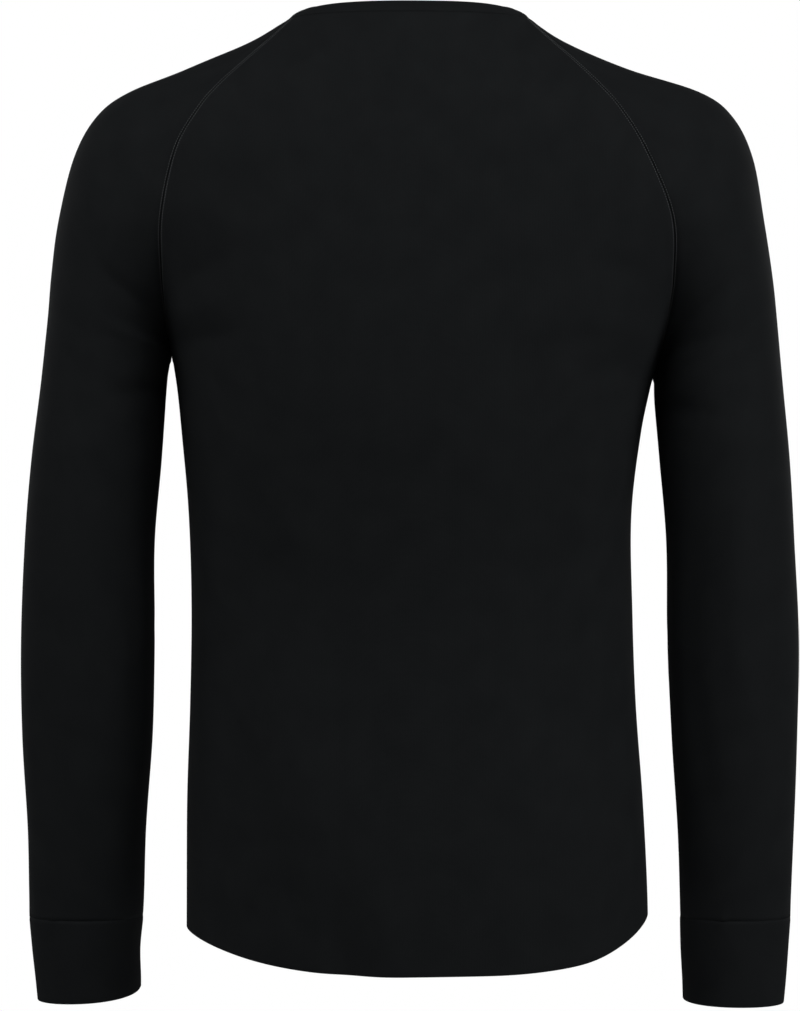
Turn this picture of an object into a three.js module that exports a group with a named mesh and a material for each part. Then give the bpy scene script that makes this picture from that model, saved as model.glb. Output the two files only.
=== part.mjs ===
// Base layer top: long raglan sleeves and a crew neck, hollow, in the shape that it has when worn.
// Millimetres, +Z up. The wearer's left is -X, the back is -Y and the front is +Y.
// The origin is the middle of the neck, level with the side neck points, where the garment hangs.
import * as THREE from "three";

// Driving sizes
const PANEL_WALL = 1.5;
const BAND_WALL = 2;
const SEAM_GAP = 0.3;
const NECKBAND_WIDTH = 18;
// How steeply the neckband stands, in degrees, and how far it curls in on either side of that
const NECKBAND_RISE = { back: 31, side: 25, front: 48 };
const NECKBAND_CURL = 17;
// The neckline seen from above is close to an ellipse about this middle, and its front is a
// little squarer than one: a true ellipse has squareness 2
const NECK_PLAN = { halfWidth: 90, halfDepth: 71.6, middleY: 9.3, squareness: 2.25 };
const CUFF_SEAM_Z = -655;
const HEM_BACK_Z = -682;
const HEM_FRONT_Z = -668;
// How round the front hem is towards the side seams
const HEM_FRONT_ROUND = 2;

// Each side of the garment: the sign of its X, the hem at the side seam, how round the back hem
// is towards that seam, and the lower edge of the cuff on its outer and inner side.
const LEFT = {
  sign: -1, name: "left", hemSide: -660, hemRound: 2.7, cuffOuter: -716, cuffInner: -707,
};
const RIGHT = {
  sign: 1, name: "right", hemSide: -651.5, hemRound: 5, cuffOuter: -718, cuffInner: -716,
};

// How finely the walls are divided
const CAP_ROWS = 14;
const BODY_ROWS = 15;
const SLEEVE_ROWS = 16;
const SLEEVE_ROW_GROWTH = 1.6;
const CUFF_ROWS = 3;
const BACK_COLUMNS = 26;
const FRONT_COLUMNS = 22;
const SLEEVE_COLUMNS = 20;
const NECKBAND_ROWS = 3;

// How far the control points of a body section stand from its ends, as a share of the corner
const SECTION_FULLNESS = 0.59;
// The step, as a share of a row or column, over which a surface's direction is taken
const NORMAL_STEP = 0.002;
// Two seams closer to one line than this (squared sine) count as one line at their corner
const STRAIGHT_SEAM = 0.02;
const NECKLINE_HALVINGS = 24;

// The raglan seams, from the neck (station 0) to the underarm (station 10), at each side.
// "turn" is the angle at which a body section leaves the seam, from straight across to straight
// back, and "crease" how far the sleeve bends back from it into the hollow before the armpit.
const SEAMS = table(
  ["station", "z_left", "z_right", "x_left", "x_right", "back_y", "back_turn", "crease"],
  [
    [0, 0, 0, 86, 84, -13, 66, 0],
    [1, -17, -17, 101, 99, -32, 43, 0],
    [2, -37, -37, 120, 118, -52, 29, 0],
    [3, -54, -54, 137, 134, -62, 23, 0],
    [4, -72, -72, 151, 148.5, -71, 20, 1],
    [5, -102, -102, 167, 166, -79, 21, 6],
    [6, -148, -148, 177, 184.5, -77, 26, 24],
    [7, -186, -190, 178, 187, -59, 54, 76],
    [8, -215, -222, 177, 184, -35, 78, 131],
    [9, -238, -249, 175, 179, -10, 88, 168],
    [10, -247, -262, 174, 176, 0, 90, 180],
  ],
);

// The front seams lie further in than the back ones, and the front and back of the body here
const FRONT_SEAMS = table(
  ["station", "inset", "y", "turn", "middle_front", "middle_back"],
  [
    [0, 4.5, 27.2, 75, 46, -61],
    [1, 7.1, 40, 44.5, 57, -72],
    [2, 12, 51, 29, 67, -83],
    [3, 13, 60, 22, 75, -90],
    [4, 12, 67.5, 18, 82, -95.5],
    [5, 10, 73, 20, 94, -103],
    [6, 6, 71, 23, 107, -111],
    [7, 2, 55, 48, 114, -115.5],
    [8, 0, 34, 75, 117.5, -118],
    [9, 0, 10, 87.5, 118.7, -118.9],
    [10, 0, 0, 90, 119, -119],
  ],
);

// The outer side of the sleeve over the shoulder, and how full its sections are
const SHOULDERS = table(
  ["station", "x_left", "x_right", "y", "fullness"],
  [
    [0, 90.5, 87.5, 5.5, 1],
    [1, 118.5, 111.5, 3, 1],
    [2, 165, 159.5, 3, 1],
    [3, 207, 211.5, 2, 1],
    [4, 230, 235, 2, 1],
    [5, 246, 249.5, 2, 1.02],
    [6, 257, 257.5, 1, 1.05],
    [7, 262, 263.5, 0, 1.11],
    [8, 264.5, 266.8, 0, 1.21],
    [9, 266.9, 269.3, 0, 1.27],
    [10, 267.8, 270.5, 0, 1.25],
  ],
);

// The body below the underarm; the first row stands above it and sets the slope there
const BODY = table(
  ["z", "x_left", "x_right", "back", "front"],
  [
    [-232, 177, 183, -118.6, 118.6],
    [-247, 174, 180, -119, 119],
    [-262, 171.3, 176, -118.9, 118.9],
    [-300, 167.3, 168, -117, 117.3],
    [-360, 162, 160.8, -109.5, 111.5],
    [-430, 160, 161.5, -103.5, 106.5],
    [-500, 161, 164, -106, 107],
    [-570, 163.3, 169, -112.5, 110],
    [-640, 163.5, 172.5, -118, 112],
    [-700, 163.5, 173, -119.5, 112],
  ],
);

// The sleeves below the underarm, and the cuffs: outer and inner side, half depth and middle
const SLEEVE = table(
  ["z", "outer_left", "outer_right", "inner_left", "inner_right", "depth", "y"],
  [
    [-247, 267.8, 269.2, 174, 175, 58.5, 0],
    [-253, 268.4, 269.7, 177.6, 175.5, 58.5, 0],
    [-262, 269.3, 270.5, 178, 176, 58.5, 0],
    [-320, 276.5, 275.8, 182, 181.2, 57, -1],
    [-380, 281.3, 279.6, 187, 186.5, 54, 0],
    [-450, 284.6, 283.2, 187.2, 187.2, 50, 2],
    [-520, 284.1, 282.1, 189.1, 190.6, 47, 5],
    [-590, 280.7, 280.1, 194.1, 195.2, 43, 9],
    [-650, 279.7, 278.2, 196.2, 197.5, 38.5, 13],
    [-679, 277.5, 276.5, 199, 198.4, 37, 14.5],
    [-703, 275, 274.9, 198.6, 199.8, 36, 16],
    [-720, 273.4, 273.4, 199, 200.4, 35.5, 17],
  ],
);

// Soft flutes of the hem: where each lies, how wide it is, where it fades out upwards, and how far
// the cloth stands out (or, below zero, in) at the hem
const FLUTES = table(
  ["face", "x", "width", "top", "depth"],
  [
    ["back", -112, 22, -560, 1.2],
    ["back", -46, 15, -545, -2.6],
    ["back", -14, 15, -575, 1.6],
    ["back", 38, 24, -590, -1.3],
    ["back", 104, 26, -545, -1.4],
    ["front", -90, 22, -560, -1.5],
    ["front", -38, 18, -590, 1.8],
    ["front", 12, 20, -550, -2.2],
    ["front", 72, 20, -580, 1.6],
    ["front", 120, 24, -555, -1.2],
  ],
);

const LAST_STATION = 10;
// The station at which each seam, and the middle of each panel, meets the neckline
const NECK_STATION = { backMiddle: 0.12, frontSeam: 0.3, frontMiddle: 3.9 };

const BLACK_KNIT = { color: 0x16181a, roughness: 0.9, metalness: 0 };

function table(columns, rows) {
  return rows.map((row) => Object.fromEntries(columns.map((name, i) => [name, row[i]])));
}

// The value of a column between the rows of a table, on a smooth curve through them
function lookUp(rows, key, column, at) {
  const rising = Math.sign(rows[1][key] - rows[0][key]);
  let i = 0;
  while (i < rows.length - 2 && (at - rows[i + 1][key]) * rising > 0) i += 1;
  const slope = (k) => {
    const before = rows[Math.max(k - 1, 0)];
    const after = rows[Math.min(k + 1, rows.length - 1)];
    return (after[column] - before[column]) / (after[key] - before[key]);
  };
  const [from, to] = [rows[i], rows[i + 1]];
  const span = to[key] - from[key];
  const t = (at - from[key]) / span;
  const rise = to[column] - from[column];
  const bendOut = slope(i) * span - rise;
  const bendIn = rise - slope(i + 1) * span;
  return from[column] + rise * t + t * (1 - t) * (bendOut * (1 - t) + bendIn * t);
}

function mix(a, b, t) {
  return a + (b - a) * t;
}

function ease(t) {
  return t * t * (3 - 2 * t);
}

function bezier(ends, t) {
  const [a, b, c, d] = ends;
  const at = (k) => {
    const outer = a[k] * (1 - t) ** 3 + d[k] * t ** 3;
    return outer + 3 * t * (1 - t) * (b[k] * (1 - t) + c[k] * t);
  };
  return [at(0), at(1)];
}

// A point of the raglan seam at the back or front, as distances out from the middle and along Y
function seamPoint(side, face, station) {
  const out = lookUp(SEAMS, "station", `x_${side.name}`, station);
  if (face === "back") return [out, lookUp(SEAMS, "station", "back_y", station)];
  const inset = lookUp(FRONT_SEAMS, "station", "inset", station);
  return [out - inset, lookUp(FRONT_SEAMS, "station", "y", station)];
}

function seamTurn(face, station) {
  const turn = face === "back"
    ? lookUp(SEAMS, "station", "back_turn", station)
    : lookUp(FRONT_SEAMS, "station", "turn", station);
  return THREE.MathUtils.degToRad(turn);
}

function seamHeight(side, station) {
  return lookUp(SEAMS, "station", `z_${side.name}`, station);
}

// Half of a body section, from its edge (u = 0) to the middle of the back or front (u = 1)
function bodyArc(edge, turn, middle, u) {
  const rise = middle - edge[1];
  const corner = [edge[0] - Math.abs(rise) / Math.tan(turn), middle];
  const towards = (from) => from.map((value, k) => mix(value, corner[k], SECTION_FULLNESS));
  const centre = [0, middle];
  return bezier([edge, towards(edge), towards(centre), centre], u);
}

// Half of a sleeve section, from the seam or the inner side (t = 0) to the outer side (t = 1)
function sleeveArc(edge, heading, outer, face, fullness, t) {
  const away = face === "back" ? -1 : 1;
  const bend = heading + Math.PI / 2;
  const chord = Math.hypot(outer[0] - edge[0], outer[1] - edge[1]);
  const handle = (chord * fullness) / (3 * Math.cos(bend / 4) ** 2);
  const near = [edge[0] + handle * Math.cos(heading), edge[1] + away * handle * Math.sin(heading)];
  const far = [outer[0], outer[1] + away * handle];
  return bezier([edge, near, far, outer], t);
}

// A point of the back or front panel: across from -1 (left edge) to 1, down from 0 to its last row
function panelPoint(face, across, down) {
  const side = across < 0 ? LEFT : RIGHT;
  const u = 1 - Math.abs(across);
  const [out, y, z] = down <= CAP_ROWS
    ? upperPanel(side, face, u, down / CAP_ROWS)
    : lowerPanel(side, face, u, (down - CAP_ROWS) / BODY_ROWS);
  return new THREE.Vector3(side.sign * out, y, z);
}

function upperPanel(side, face, u, t) {
  const start = face === "back" ? NECK_STATION.backMiddle * ease(u) : frontNeckStation(side, u);
  const station = mix(start, LAST_STATION, t);
  const z = mix(seamHeight(side, station), middleHeight(station), ease(u));
  return [...upperSection(side, face, u, station), z];
}

function upperSection(side, face, u, station) {
  const middle = lookUp(FRONT_SEAMS, "station", `middle_${face}`, station);
  return bodyArc(seamPoint(side, face, station), seamTurn(face, station), middle, u);
}

// The station at which the front panel meets the neckline: where its section cuts the rounded
// plan that joins the front seam's end to the middle
function frontNeckStation(side, u) {
  const { frontSeam, frontMiddle } = NECK_STATION;
  const { middleY, squareness } = NECK_PLAN;
  const [seamOut, seamY] = seamPoint(side, "front", frontSeam);
  const deep = lookUp(FRONT_SEAMS, "station", "middle_front", frontMiddle) - middleY;
  const wide = seamOut / (1 - ((seamY - middleY) / deep) ** squareness) ** (1 / squareness);
  let [above, below] = [frontSeam, frontMiddle];
  for (let i = 0; i < NECKLINE_HALVINGS; i += 1) {
    const station = (above + below) / 2;
    const [out, y] = upperSection(side, "front", u, station);
    const reach = Math.max(out / wide, 0) ** squareness + ((y - middleY) / deep) ** squareness;
    if (reach < 1) above = station;
    else below = station;
  }
  return (above + below) / 2;
}

function middleHeight(station) {
  return (seamHeight(LEFT, station) + seamHeight(RIGHT, station)) / 2;
}

function lowerPanel(side, face, u, t) {
  const arcAt = (z) => {
    const edge = [lookUp(BODY, "z", `x_${side.name}`, z), 0];
    return [edge[0], bodyArc(edge, Math.PI / 2, lookUp(BODY, "z", face, z), u)];
  };
  const top = mix(seamHeight(side, LAST_STATION), middleHeight(LAST_STATION), ease(u));
  const [edgeX, hemPoint] = arcAt(side.hemSide);
  const hemMiddle = face === "back" ? HEM_BACK_Z : HEM_FRONT_Z;
  const round = face === "back" ? side.hemRound : HEM_FRONT_ROUND;
  const hem = mix(side.hemSide, hemMiddle, 1 - (Math.max(hemPoint[0], 0) / edgeX) ** round);
  const z = mix(top, hem, t);
  const [out, y] = arcAt(z)[1];
  return [out, y + Math.sign(y) * fluteAt(face, side.sign * out, z, hem), z];
}

// How far the flutes move the cloth out here; they grow from their tops down to the hem
function fluteAt(face, x, z, hem) {
  const here = FLUTES.filter((flute) => flute.face === face);
  return here.reduce((sum, flute) => {
    const down = THREE.MathUtils.clamp((flute.top - z) / (flute.top - hem), 0, 1);
    return sum + flute.depth * ease(down) * Math.exp(-(((x - flute.x) / flute.width) ** 2));
  }, 0);
}

// A point of a sleeve: round from 0 (back seam) over the outer side (0.5) to 1 (front seam)
function sleevePoint(side, round, down) {
  const face = round <= 0.5 ? "back" : "front";
  const t = round <= 0.5 ? round * 2 : 2 - round * 2;
  const [out, y, z] = down <= CAP_ROWS
    ? sleeveCap(side, face, t, down / CAP_ROWS)
    : sleeveTube(side, face, t, down - CAP_ROWS);
  return new THREE.Vector3(side.sign * out, y, z);
}

function sleeveCap(side, face, t, drop) {
  const towardsFront = face === "back" ? 0 : 2 * (1 - t) ** 2 - (1 - t) ** 3;
  const station = mix(NECK_STATION.frontSeam * towardsFront, LAST_STATION, drop);
  const edge = seamPoint(side, face, station);
  const crease = THREE.MathUtils.degToRad(lookUp(SEAMS, "station", "crease", station));
  const heading = crease - seamTurn(face, station);
  const outer = [
    lookUp(SHOULDERS, "station", `x_${side.name}`, station),
    lookUp(SHOULDERS, "station", "y", station),
  ];
  const fullness = lookUp(SHOULDERS, "station", "fullness", station);
  return [...sleeveArc(edge, heading, outer, face, fullness, t), seamHeight(side, station)];
}

function sleeveTube(side, face, t, down) {
  const share = Math.max(down / SLEEVE_ROWS, 0) ** SLEEVE_ROW_GROWTH;
  const z = mix(seamHeight(side, LAST_STATION), CUFF_SEAM_Z, share);
  return [...tubeSection(side, face, t, z), z];
}

function tubeSection(side, face, t, z) {
  const inner = lookUp(SLEEVE, "z", `inner_${side.name}`, z);
  const outer = lookUp(SLEEVE, "z", `outer_${side.name}`, z);
  const y = lookUp(SLEEVE, "z", "y", z);
  const fullness = (2 * lookUp(SLEEVE, "z", "depth", z)) / (outer - inner);
  return sleeveArc([inner, y], Math.PI / 2, [outer, y], face, fullness, t);
}

// A point of a cuff, down from its seam (0) to its lower edge (1)
function cuffPoint(side, round, down) {
  const face = round <= 0.5 ? "back" : "front";
  const t = round <= 0.5 ? round * 2 : 2 - round * 2;
  const lower = mix(side.cuffOuter, side.cuffInner, (1 - t) ** 3);
  const z = mix(CUFF_SEAM_Z, lower, down / CUFF_ROWS);
  const [out, y] = tubeSection(side, face, t, z);
  return new THREE.Vector3(side.sign * out, y, z);
}

function surfaceNormal(surface, a, b) {
  const alongA = surface(a + NORMAL_STEP, b).sub(surface(a - NORMAL_STEP, b));
  const alongB = surface(a, b + NORMAL_STEP).sub(surface(a, b - NORMAL_STEP));
  return alongA.cross(alongB).normalize();
}

// The neckband at a point of the neckline: its way along the band's width, and its normal, with
// the band's slope changed by its curl (in degrees)
function neckFrame(point, curl = 0) {
  const { halfWidth, halfDepth, middleY } = NECK_PLAN;
  const forward = (point.y - middleY) / halfDepth ** 2;
  const out = new THREE.Vector3(point.x / halfWidth ** 2, forward, 0).normalize();
  const middleRise = point.y < 0 ? NECKBAND_RISE.back : NECKBAND_RISE.front;
  const rise = THREE.MathUtils.degToRad(mix(middleRise, NECKBAND_RISE.side, out.x ** 2) + curl);
  const up = new THREE.Vector3(0, 0, 1);
  return {
    along: out.clone().multiplyScalar(-Math.cos(rise)).addScaledVector(up, Math.sin(rise)),
    normal: out.clone().multiplyScalar(Math.sin(rise)).addScaledVector(up, Math.cos(rise)),
  };
}

// The wall's direction at the neck seam lies midway between the panel's and the neckband's
function neckSeamNormal(point, panelNormal) {
  return panelNormal.clone().add(neckFrame(point, NECKBAND_CURL).normal).normalize();
}

// A grid of points and outward normals. From row closedFrom on, its last column is its first.
function makeGrid({ rows, columns, surface, coordinate, outward, closedFrom = Infinity }) {
  const grid = { rows, columns, closedFrom, points: [], normals: [], outward };
  grid.index = (i, j) => i * (columns + 1) + (j === columns && i >= closedFrom ? 0 : j);
  for (let i = 0; i <= rows; i += 1) {
    for (let j = 0; j <= columns; j += 1) {
      const across = coordinate(j);
      grid.points.push(surface(across, i));
      grid.normals.push(surfaceNormal(surface, across, i).multiplyScalar(outward));
    }
  }
  return grid;
}

function gridFaces(grid) {
  const faces = [];
  for (let i = 0; i < grid.rows; i += 1) {
    for (let j = 0; j < grid.columns; j += 1) {
      const corners = [
        grid.index(i, j), grid.index(i, j + 1), grid.index(i + 1, j + 1), grid.index(i + 1, j),
      ];
      if (grid.outward < 0) corners.reverse();
      faces.push([corners[0], corners[1], corners[2]], [corners[0], corners[2], corners[3]]);
    }
  }
  return faces;
}

// The edges that only one face uses, each from its first to its second corner
function borderEdges(faces) {
  const edges = new Map();
  for (const [a, b, c] of faces) {
    for (const [from, to] of [[a, b], [b, c], [c, a]]) {
      if (!edges.delete(`${to},${from}`)) edges.set(`${from},${to}`, [from, to]);
    }
  }
  return [...edges.values()];
}

// How far a border point moves in from the seams on its two sides
function seamShift(ways, gaps) {
  const [first, second] = ways;
  const facing = first.dot(second);
  const spread = 1 - facing * facing;
  if (spread < STRAIGHT_SEAM) {
    return first.clone().add(second).normalize().multiplyScalar(Math.max(...gaps));
  }
  const onFirst = (gaps[0] - facing * gaps[1]) / spread;
  const onSecond = (gaps[1] - facing * gaps[0]) / spread;
  return first.clone().multiplyScalar(onFirst).addScaledVector(second, onSecond);
}

// Draws the seam edges of a grid in by half the gap; edges with both ends in a free row stay
function openSeams(grid, faces, isFree) {
  const ways = new Map();
  const border = borderEdges(faces);
  for (const [from, to] of border) {
    const edge = grid.points[to].clone().sub(grid.points[from]);
    const gap = isFree(from) && isFree(to) ? 0 : SEAM_GAP / 2;
    for (const corner of [from, to]) {
      const way = grid.normals[corner].clone().cross(edge).normalize();
      if (!ways.has(corner)) ways.set(corner, []);
      ways.get(corner).push([way, gap]);
    }
  }
  const shifts = [...ways].map(([corner, pair]) => [
    corner, seamShift(pair.map(([way]) => way), pair.map(([, gap]) => gap)),
  ]);
  for (const [corner, shift] of shifts) grid.points[corner].add(shift);
  return border;
}

// A closed wall: the outer points, the inner ones a thickness in, and a rim round every border
function wallGeometry(grid, thickness, isFree) {
  const faces = gridFaces(grid);
  const border = openSeams(grid, faces, isFree);
  const count = grid.points.length;
  const positions = [];
  for (const point of grid.points) positions.push(...point.toArray());
  grid.points.forEach((point, k) => {
    positions.push(...point.clone().addScaledVector(grid.normals[k], -thickness).toArray());
  });
  const triangles = [];
  for (const [a, b, c] of faces) triangles.push(a, b, c, a + count, c + count, b + count);
  for (const [a, b] of border) triangles.push(b, a, a + count, b, a + count, b + count);
  const geometry = new THREE.BufferGeometry();
  geometry.setAttribute("position", new THREE.Float32BufferAttribute(positions, 3));
  geometry.setIndex(triangles);
  return withoutSpares(geometry);
}

// Leaves out the points that no face uses
function withoutSpares(geometry) {
  const places = geometry.getAttribute("position");
  const kept = new Map();
  const positions = [];
  const triangles = [];
  for (const corner of geometry.index.array) {
    if (!kept.has(corner)) {
      kept.set(corner, kept.size);
      positions.push(places.getX(corner), places.getY(corner), places.getZ(corner));
    }
    triangles.push(kept.get(corner));
  }
  const tidy = new THREE.BufferGeometry();
  tidy.setAttribute("position", new THREE.Float32BufferAttribute(positions, 3));
  tidy.setIndex(triangles);
  tidy.computeVertexNormals();
  return tidy;
}

function namedMesh(name, geometry) {
  const mesh = new THREE.Mesh(geometry, new THREE.MeshStandardMaterial(BLACK_KNIT));
  mesh.name = name;
  return mesh;
}

// The first row of a grid takes the direction that it shares with the neckband
function shareNeckSeam(grid) {
  for (let j = 0; j <= grid.columns; j += 1) {
    grid.normals[j] = neckSeamNormal(grid.points[j], grid.normals[j]);
  }
}

function panel(face, columns) {
  const grid = makeGrid({
    rows: CAP_ROWS + BODY_ROWS,
    columns,
    surface: (across, down) => panelPoint(face, across, down),
    coordinate: (j) => (2 * j) / columns - 1,
    outward: face === "back" ? -1 : 1,
  });
  shareNeckSeam(grid);
  const hemStart = grid.index(grid.rows, 0);
  return namedMesh(face, wallGeometry(grid, PANEL_WALL, (corner) => corner >= hemStart));
}

function sleeve(side) {
  const grid = makeGrid({
    rows: CAP_ROWS + SLEEVE_ROWS,
    columns: SLEEVE_COLUMNS,
    surface: (round, down) => sleevePoint(side, round, down),
    coordinate: (j) => j / SLEEVE_COLUMNS,
    outward: -side.sign,
    closedFrom: CAP_ROWS,
  });
  shareNeckSeam(grid);
  return namedMesh(`sleeve_${side.name}`, wallGeometry(grid, PANEL_WALL, () => false));
}

function cuff(side) {
  const grid = makeGrid({
    rows: CUFF_ROWS,
    columns: SLEEVE_COLUMNS,
    surface: (round, down) => cuffPoint(side, round, down),
    coordinate: (j) => j / SLEEVE_COLUMNS,
    outward: -side.sign,
    closedFrom: 0,
  });
  const lowerEdge = grid.index(CUFF_ROWS, 0);
  return namedMesh(`cuff_${side.name}`, wallGeometry(grid, BAND_WALL, (corner) => corner >= lowerEdge));
}

// The neckline, once round from the left back seam: each point with its panel's normal there
function necklineLoop() {
  const loop = [];
  const follow = (surface, outward, from, to, columns) => {
    for (let j = 0; j < columns; j += 1) {
      const across = mix(from, to, j / columns);
      const normal = surfaceNormal(surface, across, 0).multiplyScalar(outward);
      loop.push({ point: surface(across, 0), normal });
    }
  };
  follow((a, d) => panelPoint("back", a, d), -1, -1, 1, BACK_COLUMNS);
  follow((a, d) => sleevePoint(RIGHT, a, d), -1, 0, 1, SLEEVE_COLUMNS);
  follow((a, d) => panelPoint("front", a, d), 1, 1, -1, FRONT_COLUMNS);
  follow((a, d) => sleevePoint(LEFT, a, d), 1, 1, 0, SLEEVE_COLUMNS);
  return loop;
}

// The point of the neckband at a share of its width above a point of the neckline
function neckbandPoint(point, share) {
  const meanCurl = NECKBAND_CURL * (1 - share);
  return point.clone().addScaledVector(neckFrame(point, meanCurl).along, NECKBAND_WIDTH * share);
}

function neckband() {
  const loop = necklineLoop();
  const columns = loop.length;
  const grid = { rows: NECKBAND_ROWS, columns, closedFrom: 0, points: [], normals: [], outward: 1 };
  grid.index = (i, j) => i * columns + (j % columns);
  for (let i = 0; i <= NECKBAND_ROWS; i += 1) {
    const curl = mix(NECKBAND_CURL, -NECKBAND_CURL, i / NECKBAND_ROWS);
    for (const { point, normal } of loop) {
      grid.points.push(i === 0 ? point.clone() : neckbandPoint(point, i / NECKBAND_ROWS));
      grid.normals.push(i === 0 ? neckSeamNormal(point, normal) : neckFrame(point, curl).normal);
    }
  }
  const topEdge = grid.index(NECKBAND_ROWS, 0);
  return namedMesh("neckband", wallGeometry(grid, BAND_WALL, (corner) => corner >= topEdge));
}

const group = new THREE.Group();
group.add(panel("back", BACK_COLUMNS));
group.add(panel("front", FRONT_COLUMNS));
for (const side of [LEFT, RIGHT]) {
  group.add(sleeve(side));
  group.add(cuff(side));
}
group.add(neckband());

export default group;
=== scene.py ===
"""Base layer top: thin black knit shells on the form of the solids, with their sewing.

Tables and shapes are in millimetres, in the row's frame: +Z is up, -Y is the wearer's back and
-X is the wearer's left. Meshes are made in metres.
"""

import math

import bmesh
import bpy
import numpy as np
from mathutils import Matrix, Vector


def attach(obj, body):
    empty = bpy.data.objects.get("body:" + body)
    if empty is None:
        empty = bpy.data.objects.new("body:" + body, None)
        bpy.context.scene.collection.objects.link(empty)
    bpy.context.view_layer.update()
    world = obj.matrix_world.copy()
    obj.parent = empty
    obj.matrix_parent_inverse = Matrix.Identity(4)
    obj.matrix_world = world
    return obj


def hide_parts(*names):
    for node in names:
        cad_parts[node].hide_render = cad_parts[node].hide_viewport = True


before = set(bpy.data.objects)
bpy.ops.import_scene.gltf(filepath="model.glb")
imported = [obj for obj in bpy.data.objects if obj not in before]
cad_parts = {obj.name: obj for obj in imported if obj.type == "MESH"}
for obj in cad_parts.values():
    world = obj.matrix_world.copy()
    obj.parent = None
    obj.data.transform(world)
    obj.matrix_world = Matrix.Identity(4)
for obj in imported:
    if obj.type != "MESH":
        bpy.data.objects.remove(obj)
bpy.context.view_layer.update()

MM = 0.001
PHOTO_HEIGHT = 1011

# Cloth: how thick one layer and a doubled band are, what the turned-up hem adds and how far up it
# reaches, and the slit left at each seam
KNIT = 0.9
DOUBLED = 1.7
HEM_TURN = {"extra": 0.5, "full_to": 16, "gone_at": 18}
SEAM_GAP = 0.03
# The dye at its darkest and lightest, and the thread, as linear colours; the thread's light grey, far
# lighter than the dye, is a painted glint of its shiny polyester
KNIT_COLOURS = (0.0056, 0.0062, 0.0067), (0.0070, 0.0077, 0.0082)
THREAD_GLINT_COLOUR = (0.055, 0.058, 0.060)
# The knit's loops, in metres: the pitch of the wales, that of the courses, and their relief
PANEL_LOOPS = 0.0011, 0.0008, 0.00012
BAND_LOOPS = 0.0010, 0.0008, 0.00012
# The wave texture's scale that gives one band in each metre
ONE_BAND = 0.31416
# The stitches of the raglan seams, and how far each of their two rows lies from the seam
STITCH = {"pitch": 1.9, "length": 0.95, "radius": 0.26}
STITCH_INSET = 1.15

# How finely the pieces are divided
CAP_ROWS = 84
BODY_ROWS = 136
SLEEVE_ROWS = 132
CUFF_ROWS = 24
NECKBAND_ROWS = 14
PANEL_HALF_COLUMNS = 62
SLEEVE_HALF_COLUMNS = 52

# The studio, in metres: the light of its white world on the cloth, and its floor
WORLD_LIGHT = 0.02
FLOOR_HALF = 4.0
FLOOR_LEVEL = -1.45
FLOOR_COLOUR = (0.8, 0.8, 0.8)
LIGHT_SIZE = (1.2, 1.2)
LIGHTS_AIM = (0, 0, -0.3)
STUDIO_LIGHTS = [
    # name, place, power
    ("back_left_low", (-2.3, -1.1, 0.1), 6),
    ("back_right_low", (2.3, -1.1, 0.1), 35),
    ("back_right_near", (1.1, -1.3, 0.3), 7),
    ("back_left_high", (-0.9, -1.1, 1.3), 31),
    ("back_right_high", (0.9, -1.1, 1.3), 10),
    ("side_left", (-2.0, -0.3, 0.0), 9),
    ("front_left", (-1.5, 1.8, 0.2), 10),
    ("front_right", (1.5, 1.8, 0.2), 14),
]

# The neckband and the lower edges, as on the solids
NECKBAND_WIDTH = 18
NECKBAND_RISE = {"back": 31, "side": 25, "front": 48}
NECKBAND_CURL = 17
NECK_PLAN = {"half_width": 90, "half_depth": 71.6, "middle_y": 9.3, "squareness": 2.25}
CUFF_SEAM_Z = -655
HEM_BACK_Z = -682
HEM_FRONT_Z = -668
HEM_FRONT_ROUND = 2
LEFT = {
    "sign": -1, "name": "left", "hem_side": -660, "hem_round": 2.7,
    "cuff_outer": -716, "cuff_inner": -707,
}
RIGHT = {
    "sign": 1, "name": "right", "hem_side": -651.5, "hem_round": 5,
    "cuff_outer": -718, "cuff_inner": -716,
}
SIDES = (LEFT, RIGHT)
SECTION_FULLNESS = 0.59
LAST_STATION = 10
NECK_STATION = {"back_middle": 0.12, "front_seam": 0.3, "front_middle": 3.9}
NECKLINE_HALVINGS = 24


class Table:
    """Rows of named columns, read between the rows on a smooth curve; the first is the key."""

    def __init__(self, columns, rows):
        self.columns = {
            name: np.array([row[k] for row in rows]) for k, name in enumerate(columns)
        }
        self.key = self.columns[columns[0]]

    def __call__(self, column, at):
        key, values = self.key, self.columns[column]
        rising = np.sign(key[1] - key[0])
        at = np.asarray(at, float)
        i = np.clip(np.searchsorted(key * rising, at * rising) - 1, 0, len(key) - 2)
        before = np.maximum(np.arange(len(key)) - 1, 0)
        after = np.minimum(np.arange(len(key)) + 1, len(key) - 1)
        slope = (values[after] - values[before]) / (key[after] - key[before])
        span = key[i + 1] - key[i]
        rise = values[i + 1] - values[i]
        t = (at - key[i]) / span
        bend_out = slope[i] * span - rise
        bend_in = rise - slope[i + 1] * span
        return values[i] + rise * t + t * (1 - t) * (bend_out * (1 - t) + bend_in * t)


# The raglan seams, from the neck (station 0) to the underarm (station 10), at each side
SEAMS = Table(
    ["station", "z_left", "z_right", "x_left", "x_right", "back_y", "back_turn", "crease"],
    [
        [0, 0, 0, 86, 84, -13, 66, 0],
        [1, -17, -17, 101, 99, -32, 43, 0],
        [2, -37, -37, 120, 118, -52, 29, 0],
        [3, -54, -54, 137, 134, -62, 23, 0],
        [4, -72, -72, 151, 148.5, -71, 20, 1],
        [5, -102, -102, 167, 166, -79, 21, 6],
        [6, -148, -148, 177, 184.5, -77, 26, 24],
        [7, -186, -190, 178, 187, -59, 54, 76],
        [8, -215, -222, 177, 184, -35, 78, 131],
        [9, -238, -249, 175, 179, -10, 88, 168],
        [10, -247, -262, 174, 176, 0, 90, 180],
    ],
)
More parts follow.
